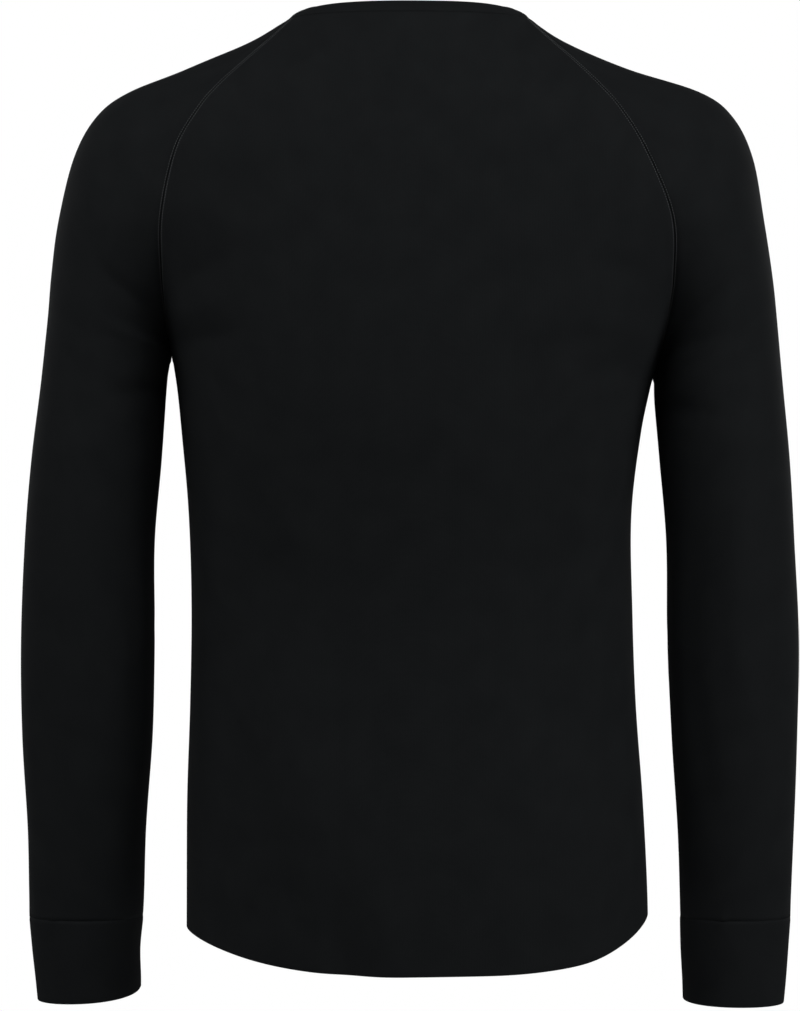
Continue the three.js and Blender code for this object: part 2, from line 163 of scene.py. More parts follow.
# The front seams lie further in than the back ones, and the front and back of the body here
FRONT_SEAMS = Table(
    ["station", "inset", "y", "turn", "middle_front", "middle_back"],
    [
        [0, 4.5, 27.2, 75, 46, -61],
        [1, 7.1, 40, 44.5, 57, -72],
        [2, 12, 51, 29, 67, -83],
        [3, 13, 60, 22, 75, -90],
        [4, 12, 67.5, 18, 82, -95.5],
        [5, 10, 73, 20, 94, -103],
        [6, 6, 71, 23, 107, -111],
        [7, 2, 55, 48, 114, -115.5],
        [8, 0, 34, 75, 117.5, -118],
        [9, 0, 10, 87.5, 118.7, -118.9],
        [10, 0, 0, 90, 119, -119],
    ],
)
# The outer side of the sleeve over the shoulder, and how full its sections are
SHOULDERS = Table(
    ["station", "x_left", "x_right", "y", "fullness"],
    [
        [0, 90.5, 87.5, 5.5, 1],
        [1, 118.5, 111.5, 3, 1],
        [2, 165, 159.5, 3, 1],
        [3, 207, 211.5, 2, 1],
        [4, 230, 235, 2, 1],
        [5, 246, 249.5, 2, 1.02],
        [6, 257, 257.5, 1, 1.05],
        [7, 262, 263.5, 0, 1.11],
        [8, 264.5, 266.8, 0, 1.21],
        [9, 266.9, 269.3, 0, 1.27],
        [10, 267.8, 270.5, 0, 1.25],
    ],
)
# The body below the underarm; the first row stands above it and sets the slope there
BODY = Table(
    ["z", "x_left", "x_right", "back", "front"],
    [
        [-232, 177, 183, -118.6, 118.6],
        [-247, 174, 180, -119, 119],
        [-262, 171.3, 176, -118.9, 118.9],
        [-300, 167.3, 168, -117, 117.3],
        [-360, 162, 160.8, -109.5, 111.5],
        [-430, 160, 161.5, -103.5, 106.5],
        [-500, 161, 164, -106, 107],
        [-570, 163.3, 169, -112.5, 110],
        [-640, 163.5, 172.5, -118, 112],
        [-700, 163.5, 173, -119.5, 112],
    ],
)
# The sleeves below the underarm, and the cuffs: outer and inner side, half depth and middle
SLEEVE = Table(
    ["z", "outer_left", "outer_right", "inner_left", "inner_right", "depth", "y"],
    [
        [-247, 267.8, 269.2, 174, 175, 58.5, 0],
        [-253, 268.4, 269.7, 177.6, 175.5, 58.5, 0],
        [-262, 269.3, 270.5, 178, 176, 58.5, 0],
        [-320, 276.5, 275.8, 182, 181.2, 57, -1],
        [-380, 281.3, 279.6, 187, 186.5, 54, 0],
        [-450, 284.6, 283.2, 187.2, 187.2, 50, 2],
        [-520, 284.1, 282.1, 189.1, 190.6, 47, 5],
        [-590, 280.7, 280.1, 194.1, 195.2, 43, 9],
        [-650, 279.7, 278.2, 196.2, 197.5, 38.5, 13],
        [-679, 277.5, 276.5, 199, 198.4, 37, 14.5],
        [-703, 275, 274.9, 198.6, 199.8, 36, 16],
        [-720, 273.4, 273.4, 199, 200.4, 35.5, 17],
    ],
)
# Soft flutes of the hem, as on the solids: where each lies, how wide it is, where it fades out
# upwards, and how far the cloth stands out (or, below zero, in) at the hem
FLUTES = [
    # face, x, width, top, depth
    ("back", -112, 22, -560, 1.2),
    ("back", -46, 15, -545, -2.6),
    ("back", -14, 15, -575, 1.6),
    ("back", 38, 24, -590, -1.3),
    ("back", 104, 26, -545, -1.4),
    ("front", -90, 22, -560, -1.5),
    ("front", -38, 18, -590, 1.8),
    ("front", 12, 20, -550, -2.2),
    ("front", 72, 20, -580, 1.6),
    ("front", 120, 24, -555, -1.2),
]
# Creases of the body: from (x0, z0) to (x1, z1), how wide each is, and how far the cloth stands
# out there (or, below zero, in)
BODY_CREASES = [
    # face, x0, z0, x1, z1, width, depth
    ("back", -72, -10, -118, -70, 12, -3.2),
    ("back", 74, -8, 114, -60, 12, -3.0),
    ("back", -168, -196, -128, -176, 9, -1.4),
    ("back", -170, -216, -122, -206, 8, 1.1),
    ("back", -170, -236, -118, -232, 9, -1.7),
    ("back", 178, -206, 130, -180, 11, -1.4),
    ("back", 172, -236, 120, -226, 10, 1.1),
    ("back", 168, -260, 116, -266, 11, -1.6),
    ("back", -126, -440, -134, -530, 12, -2.6),
    ("back", 148, -490, 153, -600, 7, -2.2),
    ("back", -112, -430, -24, -660, 34, 6.4),
    ("back", -44, -560, -40, -710, 12, -3.2),
    ("back", 102, -340, 112, -560, 24, -5.4),
    ("back", 142, -260, 141, -530, 11, 2.4),
    ("back", -94, -200, -82, -420, 26, 4.8),
    ("back", 70, -170, 84, -330, 22, -1.8),
    ("back", 126, -580, 130, -710, 20, 2.6),
    ("front", -168, -196, -126, -168, 9, -1.6),
    ("front", -168, -222, -112, -208, 8, 1.3),
    ("front", -166, -250, -116, -252, 10, -1.8),
    ("front", 170, -200, 126, -166, 10, -1.6),
    ("front", 168, -232, 118, -220, 9, 1.3),
    ("front", 164, -260, 112, -270, 11, -1.8),
    ("front", -60, -96, -96, -150, 9, -1.5),
    ("front", 62, -98, 92, -148, 9, -1.5),
    ("front", -104, -420, -46, -650, 30, 4.6),
    ("front", 112, -400, 84, -620, 26, -4.0),
    ("front", 140, -470, 146, -570, 6, -1.9),
    ("front", -140, -500, -134, -590, 7, -1.7),
]
# Creases of the sleeves: each end is a share of the way round, from the back seam, and a height
SLEEVE_CREASES = [
    # side, round0, z0, round1, z1, width, depth
    ("left", 0.02, -214, 0.20, -176, 7, -2.2),
    ("left", 0.02, -240, 0.22, -222, 6, 1.7),
    ("left", 0.00, -262, 0.24, -272, 8, -2.4),
    ("left", 0.30, -300, 0.26, -520, 11, 1.5),
    ("left", 0.18, -330, 0.14, -600, 10, -1.7),
    ("left", 0.40, -380, 0.38, -610, 12, -1.4),
    ("left", 0.80, -240, 0.98, -262, 8, -2.2),
    ("left", 0.82, -420, 0.98, -446, 8, -2.0),
    ("left", 0.80, -452, 0.97, -470, 7, 1.5),
    ("left", 0.70, -330, 0.72, -560, 12, -1.5),
    ("right", 0.02, -226, 0.20, -186, 7, -2.2),
    ("right", 0.02, -250, 0.22, -236, 6, 1.7),
    ("right", 0.00, -274, 0.24, -288, 8, -2.4),
    ("right", 0.28, -310, 0.30, -540, 11, 1.5),
    ("right", 0.16, -340, 0.18, -590, 10, -1.7),
    ("right", 0.38, -360, 0.36, -580, 12, -1.4),
    ("right", 0.80, -252, 0.98, -272, 8, -2.2),
    ("right", 0.82, -430, 0.98, -452, 8, -2.0),
    ("right", 0.80, -460, 0.97, -480, 7, 1.5),
    ("right", 0.70, -340, 0.68, -570, 12, -1.5),
]
SLEEVE_GIRTH = 300
# How far from a seam the creases have their full depth. Under the arm they cross the seam with a
# part of it, because the stretch over which they fade starts beyond the seam.
CREASE_CLEAR = 14
UNDERARM_FADE = (-8, 6)
# How far a crease bows, as a share of its length, and the stretch that has its full depth
CREASE_BOW = 0.06
CREASE_FULL = (0.3, 0.6)
# The faint unevenness of the cloth
SWELL_HEIGHT = 0.26
RIPPLE_HEIGHT = 0.06
# How the cloth lies at its seams: it dips on each, and swells beside the raglan seams
RAGLAN_SWELL = {"height": 0.45, "out": 4.5, "width": 2.5}
RAGLAN_DIP = {"depth": 0.35, "width": 1.6}
SIDE_DIP = {"depth": 0.2, "width": 1.5}
NECK_DIP = {"depth": 0.3, "width": 2}
# Gathers at the cuff seams: two waves round the wrist that fade with the distance from the seam
GATHERS = {
    "height": 0.16, "reach": 7, "turns": 11, "wander": 1.4, "fine_share": 0.6, "fine_turns": 17,
    "fine_phase": 0.9, "share_on_cuff": 0.7,
}
# One deeper pucker in each cuff seam, at a share of the way round from the back seam
PUCKER = {"height": 1.1, "width": 4, "reach": 5, "left": 0.34, "right": 0.20}
# The doubled bands: how far each rises beside its seam, over what distance, and what share it has
# of the cloth's unevenness
BANDS = {
    "cuff": {"rise": 0.35, "over": 3, "uneven": 0.5},
    "neckband": {"rise": 0.45, "over": 3.5, "uneven": 0.25},
}


def mix(a, b, t):
    return a + (b - a) * t


def ease(t):
    return t * t * (3 - 2 * t)


def ramp(value, low, high):
    return ease(np.clip((value - low) / (high - low), 0, 1))


def bezier(a, b, c, d, t):
    outer = a * (1 - t) ** 3 + d * t**3
    return outer + 3 * t * (1 - t) * (b * (1 - t) + c * t)


def seam_point(side, face, station):
    out = SEAMS(f"x_{side['name']}", station)
    if face == "back":
        return out, SEAMS("back_y", station)
    return out - FRONT_SEAMS("inset", station), FRONT_SEAMS("y", station)


def seam_turn(face, station):
    turn = SEAMS("back_turn", station) if face == "back" else FRONT_SEAMS("turn", station)
    return np.radians(turn)


def seam_height(side, station):
    return SEAMS(f"z_{side['name']}", station)


def middle_height(station):
    return (seam_height(LEFT, station) + seam_height(RIGHT, station)) / 2


def body_arc(edge, turn, middle, u):
    """Half of a body section, from its edge (u = 0) to the middle of the back or front."""
    out, y = edge
    corner = out - np.abs(middle - y) / np.tan(turn)
    near = mix(out, corner, SECTION_FULLNESS), mix(y, middle, SECTION_FULLNESS)
    far = mix(0, corner, SECTION_FULLNESS)
    return bezier(out, near[0], far, 0, u), bezier(y, near[1], middle, middle, u)


def upper_section(side, face, u, station):
    middle = FRONT_SEAMS(f"middle_{face}", station)
    return body_arc(seam_point(side, face, station), seam_turn(face, station), middle, u)


def front_neck_station(side, u):
    """The station at which the front panel meets the rounded plan of the neckline."""
    middle_y, squareness = NECK_PLAN["middle_y"], NECK_PLAN["squareness"]
    seam_out, seam_y = seam_point(side, "front", NECK_STATION["front_seam"])
    deep = FRONT_SEAMS("middle_front", NECK_STATION["front_middle"]) - middle_y
    wide = seam_out / (1 - ((seam_y - middle_y) / deep) ** squareness) ** (1 / squareness)
    above = np.full(u.shape, NECK_STATION["front_seam"])
    below = np.full(u.shape, NECK_STATION["front_middle"])
    for _ in range(NECKLINE_HALVINGS):
        station = (above + below) / 2
        out, y = upper_section(side, "front", u, station)
        reach = np.maximum(out / wide, 0) ** squareness + ((y - middle_y) / deep) ** squareness
        above = np.where(reach < 1, station, above)
        below = np.where(reach < 1, below, station)
    return (above + below) / 2


def upper_panel(side, face, u, t):
    """Above the underarm: u runs in from the seam, and t down from the neckline."""
    if face == "back":
        start = NECK_STATION["back_middle"] * ease(u)
    else:
        start = front_neck_station(side, u)
    station = mix(start, LAST_STATION, t)
    out, y = upper_section(side, face, u, station)
    return out, y, mix(seam_height(side, station), middle_height(station), ease(u))


def lower_panel(side, face, u, t):
    """Below the underarm: u runs in from the side seam, and t down to the hem."""

    def arc_at(z):
        edge = BODY(f"x_{side['name']}", z), 0 * z
        return edge[0], body_arc(edge, np.pi / 2, BODY(face, z), u)

    top = mix(seam_height(side, LAST_STATION), middle_height(LAST_STATION), ease(u))
    edge_x, hem_point = arc_at(np.full(u.shape, float(side["hem_side"])))
    hem_middle = HEM_BACK_Z if face == "back" else HEM_FRONT_Z
    power = side["hem_round"] if face == "back" else HEM_FRONT_ROUND
    hem = mix(side["hem_side"], hem_middle, 1 - (np.maximum(hem_point[0], 0) / edge_x) ** power)
    z = mix(top, hem, t)
    _, (out, y) = arc_at(z)
    return out, y + np.sign(y) * flute_at(face, side["sign"] * out, z, hem), z


def flute_at(face, x, z, hem):
    """How far the hem's flutes move the cloth out; they grow from their tops down."""
    total = 0
    for where, middle, width, top, depth in FLUTES:
        if where == face:
            down = np.clip((top - z) / (top - hem), 0, 1)
            total = total + depth * ease(down) * np.exp(-(((x - middle) / width) ** 2))
    return total


def sleeve_arc(edge, heading, outer, face, fullness, t):
    """Half of a sleeve section, from the seam or the inner side to the outer side (t = 1)."""
    away = -1 if face == "back" else 1
    bend = heading + np.pi / 2
    chord = np.hypot(outer[0] - edge[0], outer[1] - edge[1])
    handle = chord * fullness / (3 * np.cos(bend / 4) ** 2)
    near = edge[0] + handle * np.cos(heading), edge[1] + away * handle * np.sin(heading)
    return (bezier(edge[0], near[0], outer[0], outer[0], t),
            bezier(edge[1], near[1], outer[1] + away * handle, outer[1], t))


def sleeve_cap(side, face, t, drop):
    towards_front = 0 * t if face == "back" else 2 * (1 - t) ** 2 - (1 - t) ** 3
    station = mix(NECK_STATION["front_seam"] * towards_front, LAST_STATION, drop)
    heading = np.radians(SEAMS("crease", station)) - seam_turn(face, station)
    outer = SHOULDERS(f"x_{side['name']}", station), SHOULDERS("y", station)
    edge = seam_point(side, face, station)
    out, y = sleeve_arc(edge, heading, outer, face, SHOULDERS("fullness", station), t)
    return out, y, seam_height(side, station)


def tube_section(side, face, t, z):
    inner, outer = SLEEVE(f"inner_{side['name']}", z), SLEEVE(f"outer_{side['name']}", z)
    y = SLEEVE("y", z)
    fullness = 2 * SLEEVE("depth", z) / (outer - inner)
    out, depth_y = sleeve_arc((inner, y), np.pi / 2, (outer, y), face, fullness, t)
    return out, depth_y, z


def as_points(side, out_y_z):
    out, y, z = (np.broadcast_to(k, np.shape(out_y_z[0])) for k in out_y_z)
    return np.stack([side["sign"] * out, y, z], axis=-1)


def panel_points(face, columns, cap_rows, body_rows):
    """The outer surface of the back or front panel, as a grid of rows down and columns across."""
    halves = []
    for side in SIDES:
        share = np.linspace(0, 1, columns + 1)
        u = share if side is LEFT else 1 - share[1:]
        t, u = np.meshgrid(np.linspace(0, 1, cap_rows + 1), u, indexing="ij")
        upper = as_points(side, upper_panel(side, face, u, t))
        t, u = np.meshgrid(np.linspace(0, 1, body_rows + 1)[1:], u[0], indexing="ij")
        halves.append(np.vstack([upper, as_points(side, lower_panel(side, face, u, t))]))
    return np.hstack(halves)


def sleeve_points(side, columns, cap_rows, tube_rows):
    """The outer surface of a sleeve; round from the back seam over the outer side."""
    halves = []
    for face in ("back", "front"):
        share = np.linspace(0, 1, columns + 1)
        t = share if face == "back" else share[::-1][1:]
        drop, across = np.meshgrid(np.linspace(0, 1, cap_rows + 1), t, indexing="ij")
        cap = as_points(side, sleeve_cap(side, face, across, drop))
        down, across = np.meshgrid(np.linspace(0, 1, tube_rows + 1)[1:], t, indexing="ij")
        z = mix(seam_height(side, LAST_STATION), CUFF_SEAM_Z, down)
        tube = as_points(side, tube_section(side, face, across, z))
        halves.append(np.vstack([cap, tube]))
    return np.hstack(halves)


def cuff_points(side, columns, rows):
    halves = []
    for face in ("back", "front"):
        share = np.linspace(0, 1, columns + 1)
        t = share if face == "back" else share[::-1][1:]
        down, t = np.meshgrid(np.linspace(0, 1, rows + 1), t, indexing="ij")
        lower = mix(side["cuff_outer"], side["cuff_inner"], (1 - t) ** 3)
        z = mix(CUFF_SEAM_Z, lower, down)
        halves.append(as_points(side, tube_section(side, face, t, z)))
    return np.hstack(halves)


def unit(vectors):
    return vectors / np.maximum(np.linalg.norm(vectors, axis=-1, keepdims=True), 1e-9)


def neck_frame(points, curl):
    """The neckband's way along its width, and its normal, at points of the neckline."""
    forward = (points[..., 1] - NECK_PLAN["middle_y"]) / NECK_PLAN["half_depth"] ** 2
    sideways = points[..., 0] / NECK_PLAN["half_width"] ** 2
    out = unit(np.stack([sideways, forward, 0 * forward], axis=-1))
    middle = np.where(points[..., 1] < 0, NECKBAND_RISE["back"], NECKBAND_RISE["front"])
    rise = np.radians(mix(middle, NECKBAND_RISE["side"], out[..., 0] ** 2) + curl)[..., None]
    up = np.array([0.0, 0.0, 1.0])
    return -out * np.cos(rise) + up * np.sin(rise), out * np.sin(rise) + up * np.cos(rise)


class Grid:
    """A sheet as rows and columns of outer points; below row closed_from it is a tube."""

    def __init__(self, points, closed_from=None):
        self.points = points
        self.rows, self.columns = points.shape[:2]
        self.closed_from = self.rows if closed_from is None else closed_from
        self.outward = 1
        normals = self.normals()
        middle = points.reshape(-1, 3).mean(axis=0)
        if np.sum(normals * (points - middle)) < 0:
            self.outward = -1

    def normals(self):
        down = np.gradient(self.points, axis=0)
        across = np.gradient(self.points, axis=1)
        tube = slice(self.closed_from, None)
        wrapped = self.points[tube, 1] - self.points[tube, -2]
        across[tube, 0] = wrapped
        across[tube, -1] = wrapped
        return self.outward * unit(np.cross(across, down))

    def push(self, distance):
        """Moves the points out along their normals."""
        self.points = self.points + self.normals() * np.asarray(distance)[..., None]

    def across_mm(self):
        """How far each point lies from the first column, along its row."""
        steps = np.linalg.norm(np.diff(self.points, axis=1), axis=-1)
        return np.pad(np.cumsum(steps, axis=1), ((0, 0), (1, 0)))

    def down_mm(self):
        steps = np.linalg.norm(np.diff(self.points, axis=0), axis=-1)
        return np.pad(np.cumsum(steps, axis=0), ((1, 0), (0, 0)))


def soften_ring(points, row, spread=5, reach=14):
    """Rounds off the bend in the cloth where the underarm's row crosses it."""
    kernel = np.exp(-0.5 * (np.arange(-3 * spread, 3 * spread + 1) / spread) ** 2)
    kernel /= kernel.sum()
    first, last = row - reach, row + reach + 1
    wide = points[first - 3 * spread:last + 3 * spread]
    smooth = sum(k * wide[i:i + last - first] for i, k in enumerate(kernel))
    weight = np.sin(np.linspace(0, np.pi, last - first)) ** 2
    points[first:last] = mix(points[first:last], smooth, weight[:, None, None])


def crease_relief(creases, across, z):
    """The summed depth of creases, each a soft trough or ridge along a line."""
    total = np.zeros(z.shape)
    for x0, z0, x1, z1, width, depth in creases:
        way = np.array([x1 - x0, z1 - z0], float)
        length = np.hypot(*way)
        way /= length
        along = (across - x0) * way[0] + (z - z0) * way[1]
        off = (across - x0) * way[1] - (z - z0) * way[0]
        bow = CREASE_BOW * length * np.sin(np.pi * np.clip(along / length, 0, 1))
        full_from, full_to = CREASE_FULL[0] * length, CREASE_FULL[1] * length
        fade = ramp(along, -width, full_from) * (1 - ramp(along, full_to, length + width))
        total += depth * fade * np.exp(-(((off - bow) / width) ** 2))
    return total


def unevenness(points):
    """A faint swell and ripple of the cloth, whose lengths are primes so that it looks irregular."""
    x, y, z = points[..., 0], points[..., 1], points[..., 2]
    swell = np.sin(x / 19 + 1.3 * np.sin(z / 61)) * np.sin(z / 53 + 0.7 * np.sin(x / 23 + y / 31))
    ripple = np.sin(x / 11 + z / 67 + 2 * np.sin(z / 83)) * np.sin(z / 31 + y / 19)
    return SWELL_HEIGHT * swell + RIPPLE_HEIGHT * ripple


def dip(distance, depth, width):
    """A narrow valley in the cloth along a seam."""
    return -depth * np.exp(-((distance / width) ** 2))


def seam_roll(distance):
    """The cloth beside a raglan seam: a narrow valley on it and a low swell next to that."""
    from_crest = (distance - RAGLAN_SWELL["out"]) / RAGLAN_SWELL["width"]
    return RAGLAN_SWELL["height"] * np.exp(-(from_crest**2)) + dip(distance, **RAGLAN_DIP)


def band_relief(band, from_seam, points):
    """A doubled band rises beside its seam and is a little uneven."""
    return band["rise"] * ramp(from_seam, 0, band["over"]) + band["uneven"] * unevenness(points)


def new_mesh(name, vertices, faces, uvs=None):
    mesh = bpy.data.meshes.new(name)
    mesh.from_pydata((np.asarray(vertices) * MM).tolist(), [], faces)
    if uvs is not None:
        layer = mesh.uv_layers.new(name="UVMap")
        corners = np.empty(len(mesh.loops), dtype=np.int64)
        mesh.loops.foreach_get("vertex_index", corners)
        layer.data.foreach_set("uv", (np.asarray(uvs)[corners] * MM).astype(np.float32).ravel())
    mesh.shade_smooth()
    mesh.update()
    piece = bpy.data.objects.new(name, mesh)
    bpy.context.scene.collection.objects.link(piece)
    return piece


def rim_points(outer, inner, away, steps):
    """Rows of points that turn round a free edge from its outer to its inner side."""
    middle, radius = (outer + inner) / 2, (outer - inner) / 2
    swell = unit(away) * np.linalg.norm(radius, axis=-1, keepdims=True)
    angles = [np.pi * (k + 1) / (steps + 1) for k in range(steps)]
    return [middle + radius * np.cos(a) + swell * np.sin(a) for a in angles]


def open_seams(grid, seam_rows, free_last_row):
    """Draws the seam edges in by half a gap."""
    points = grid.points
    half = SEAM_GAP / 2
    for edge, inner in ((0, 1), (-1, -2)):
        rows = slice(0, seam_rows)
        points[rows, edge] += half * unit(points[rows, inner] - points[rows, edge])
    points[0] += half * unit(points[1] - points[0])
    if not free_last_row:
        points[-1] += half * unit(points[-2] - points[-1])


def shell(name, grid, thickness, round_edge=False, rim_steps=3):
    """A closed thin shell of a grid; with round_edge its last row is a turned, free edge."""
    rows, columns = grid.rows, grid.columns
    normals = grid.normals()
    thick = np.broadcast_to(np.asarray(thickness, float), (rows, columns))[..., None]
    outer = grid.points
    inner = outer - normals * thick
    layers = [outer, inner]
    rim = []
    if round_edge:
        rim = rim_points(outer[-1], inner[-1], outer[-1] - outer[-2], rim_steps)
        layers += [row[None] for row in rim]
    vertices = np.concatenate([layer.reshape(-1, 3) for layer in layers])
    across = grid.across_mm()
    across = across - across[:, columns // 2][:, None]
    uv = np.stack([across, -grid.down_mm()], axis=-1)
    uvs = np.concatenate([uv.reshape(-1, 2)] * 2 + [uv[-1]] * len(rim))
    index = np.arange(2 * rows * columns).reshape(2, rows, columns)
    rim_index = [2 * rows * columns + k * columns + np.arange(columns) for k in range(len(rim))]
    flip = grid.outward < 0
    faces = quads(index[0], flip) + quads(index[1], not flip)
    faces += quads(np.stack([index[0, -1], *rim_index, index[1, -1]]), flip)
    faces += quads(np.stack([index[1, 0], index[0, 0]]), flip)
    open_rows = min(grid.closed_from + 1, rows)
    for edge, other_way in ((0, False), (-1, True)):
        strip = np.stack([index[1, :open_rows, edge], index[0, :open_rows, edge]], axis=1)
        if open_rows > 1:
            faces += quads(strip, flip != other_way)
    if rim and grid.closed_from >= rows:
        for edge, other_way in ((0, False), (-1, True)):
            end = [index[0, -1, edge], *[row[edge] for row in rim_index], index[1, -1, edge]]
            faces.append([int(k) for k in (end[::-1] if flip != other_way else end)])
    piece = new_mesh(name, vertices, faces, uvs)
    weld(piece)
    return piece


def quads(index, flip):
    """The faces of a grid of vertex numbers."""
    corners = np.stack([index[:-1, :-1], index[1:, :-1], index[1:, 1:], index[:-1, 1:]], axis=-1)
    corners = corners.reshape(-1, 4)
    return (corners[:, ::-1] if flip else corners).tolist()


def weld(piece):
    """Joins the points that lie on each other, as down the closed side of a tube."""
    work = bmesh.new()
    work.from_mesh(piece.data)
    bmesh.ops.remove_doubles(work, verts=work.verts, dist=0.00001)
    bmesh.ops.recalc_face_normals(work, faces=work.faces)
    work.to_mesh(piece.data)
    work.free()
    piece.data.shade_smooth()


def make_panel(face):
    """The back or front panel, with its creases and the double cloth of its turned-up hem."""
    cap_rows, body_rows, half_columns = CAP_ROWS, BODY_ROWS, PANEL_HALF_COLUMNS
    points = panel_points(face, half_columns, cap_rows, body_rows)
    soften_ring(points, cap_rows)
    grid = Grid(points)
    across = grid.across_mm()
    side_gap = np.minimum(across, across[:, -1:] - across)
    from_neck = grid.down_mm()
    at_cap = np.arange(grid.rows)[:, None] < cap_rows
    creases = [row[1:] for row in BODY_CREASES if row[0] == face]
    relief = crease_relief(creases, points[..., 0], points[..., 2]) + unevenness(points)
    relief *= ramp(side_gap, 0, CREASE_CLEAR) * ramp(from_neck, 0, CREASE_CLEAR)
    relief += np.where(at_cap, seam_roll(side_gap), dip(side_gap, **SIDE_DIP))
    relief += dip(from_neck, **NECK_DIP)
    grid.push(relief)
    open_seams(grid, grid.rows, free_last_row=True)
    from_hem = from_neck[-1:] - from_neck
    turned_up = 1 - ramp(from_hem, HEM_TURN["full_to"], HEM_TURN["gone_at"])
    thickness = KNIT + HEM_TURN["extra"] * turned_up
    piece = shell(f"{face}_knit", grid, thickness, round_edge=True)
    return piece, grid, cap_rows


def make_sleeve(side):
    """A raglan sleeve, joined to itself along the underarm below the armpit."""
    cap_rows, tube_rows, half_columns = CAP_ROWS, SLEEVE_ROWS, SLEEVE_HALF_COLUMNS
    points = sleeve_points(side, half_columns, cap_rows, tube_rows)
    soften_ring(points, cap_rows)
    points[cap_rows:, -1] = points[cap_rows:, 0]
    grid = Grid(points, closed_from=cap_rows)
    across = grid.across_mm()
    side_gap = np.minimum(across, across[:, -1:] - across)
    from_neck = grid.down_mm()
    to_cuff = from_neck[-1:] - from_neck
    at_cap = np.arange(grid.rows)[:, None] < cap_rows
    share = np.broadcast_to(np.linspace(0, 1, grid.columns), across.shape)
    creases = [
        (row[1] * SLEEVE_GIRTH, row[2], row[3] * SLEEVE_GIRTH, *row[4:])
        for row in SLEEVE_CREASES if row[0] == side["name"]
    ]
    relief = crease_relief(creases, share * SLEEVE_GIRTH, points[..., 2]) + unevenness(points)
    relief *= np.where(at_cap, ramp(side_gap, 0, CREASE_CLEAR), ramp(side_gap, *UNDERARM_FADE))
    relief *= ramp(from_neck, 0, CREASE_CLEAR) * ramp(to_cuff, 0, CREASE_CLEAR)
    relief += np.where(at_cap, seam_roll(side_gap), dip(side_gap, **SIDE_DIP))
    relief += dip(from_neck, **NECK_DIP)
    relief += cuff_gathers(side, share, to_cuff)
    grid.push(relief)
    open_seams(grid, cap_rows, free_last_row=False)
    piece = shell(f"sleeve_{side['name']}_knit", grid, KNIT)
    return piece, grid, cap_rows


def cuff_gathers(side, share, from_seam):
    """Small uneven gathers where the wider sleeve is eased into its cuff."""
    turns = 2 * np.pi * share
    broad = np.sin(GATHERS["turns"] * turns + GATHERS["wander"] * np.sin(2 * turns))
    fine = np.sin(GATHERS["fine_turns"] * turns + GATHERS["fine_phase"])
    wave = broad + GATHERS["fine_share"] * fine
    fade = np.exp(-from_seam / GATHERS["reach"])
    from_pucker = (share - PUCKER[side["name"]]) * SLEEVE_GIRTH / PUCKER["width"]
    pucker = PUCKER["height"] * np.exp(-(from_pucker**2)) * np.exp(-from_seam / PUCKER["reach"])
    return GATHERS["height"] * wave * fade + pucker


def make_cuff(side):
    """A cuff of doubled cloth, folded along its lower edge."""
    grid = Grid(cuff_points(side, SLEEVE_HALF_COLUMNS, CUFF_ROWS), closed_from=0)
    share = np.broadcast_to(np.linspace(0, 1, grid.columns), grid.points.shape[:2])
    from_seam = grid.down_mm()
    relief = band_relief(BANDS["cuff"], from_seam, grid.points)
    relief += cuff_gathers(side, share, from_seam) * GATHERS["share_on_cuff"]
    relief[:, -1] = relief[:, 0]
    grid.push(relief)
    open_seams(grid, 0, free_last_row=True)
    return shell(f"cuff_{side['name']}_knit", grid, DOUBLED, round_edge=True)


def neckline(back, front, sleeves):
    """The seam row round the neck, from the edges of the panels and sleeves."""
    right, left = sleeves["right"].points[0], sleeves["left"].points[0]
    return np.vstack([back.points[0][:-1], right[:-1], front.points[0][::-1][:-1], left[::-1]])


def make_neckband(loop):
    """The narrow binding round the neckline, folded along its upper edge."""
    loop[-1] = loop[0]
    points = []
    for k in range(NECKBAND_ROWS + 1):
        share = k / NECKBAND_ROWS
        along, _ = neck_frame(loop, NECKBAND_CURL * (1 - share))
        points.append(loop + along * NECKBAND_WIDTH * share)
    grid = Grid(np.array(points), closed_from=0)
    from_seam = grid.down_mm()
    relief = band_relief(BANDS["neckband"], from_seam, grid.points)
    relief[:, -1] = relief[:, 0]
    grid.push(relief)
    open_seams(grid, 0, free_last_row=True)
    return shell("neckband_knit", grid, DOUBLED, round_edge=True)


def edge_line(grid, edge, rows, inset):
    """The points and normals of a line beside an edge of a grid, and the way across to it."""
    inner = 1 if edge == 0 else -2
    start = grid.points[:rows + 1, edge]
    way = unit(grid.points[:rows + 1, inner] - start)
    return start + way * inset, grid.normals()[:rows + 1, edge]


def stitch_row(points, normals, pitch, length, radius):
    """Short stitches along a line, each a small spindle that lies on the cloth."""
    steps = np.linalg.norm(np.diff(points, axis=0), axis=-1)
    run = np.concatenate([[0], np.cumsum(steps)])
    middles = np.arange(pitch, run[-1] - pitch / 2, pitch)
    at = lambda values, s: np.stack([np.interp(s, run, values[:, k]) for k in range(3)], axis=-1)
    place, normal = at(points, middles), unit(at(normals, middles))
    tangent = unit(at(points, middles + 0.5) - at(points, middles - 0.5))
    side = np.cross(normal, tangent)
    # Each ring of a spindle: its place, as a share of the length, and its share of the radius
    sides, rings = 5, ((-0.5, 0.25), (-0.3, 1.0), (0.3, 1.0), (0.5, 0.25))
    vertices, faces = [], []
    for k in range(len(middles)):
        first = len(vertices)
        for offset, swell in rings:
            for j in range(sides):
                angle = 2 * math.pi * j / sides
                lift = math.sin(angle) * normal[k] + math.cos(angle) * side[k]
                middle = place[k] + tangent[k] * offset * length + normal[k] * 0.25 * radius
                vertices.append(middle + lift * radius * swell)
        for ring in range(len(rings) - 1):
            for j in range(sides):
                a = first + ring * sides + j
                b = first + ring * sides + (j + 1) % sides
                faces.append([a, b, b + sides, a + sides])
        faces.append([first + j for j in range(sides)][::-1])
        faces.append([first + (len(rings) - 1) * sides + j for j in range(sides)])
    return vertices, faces


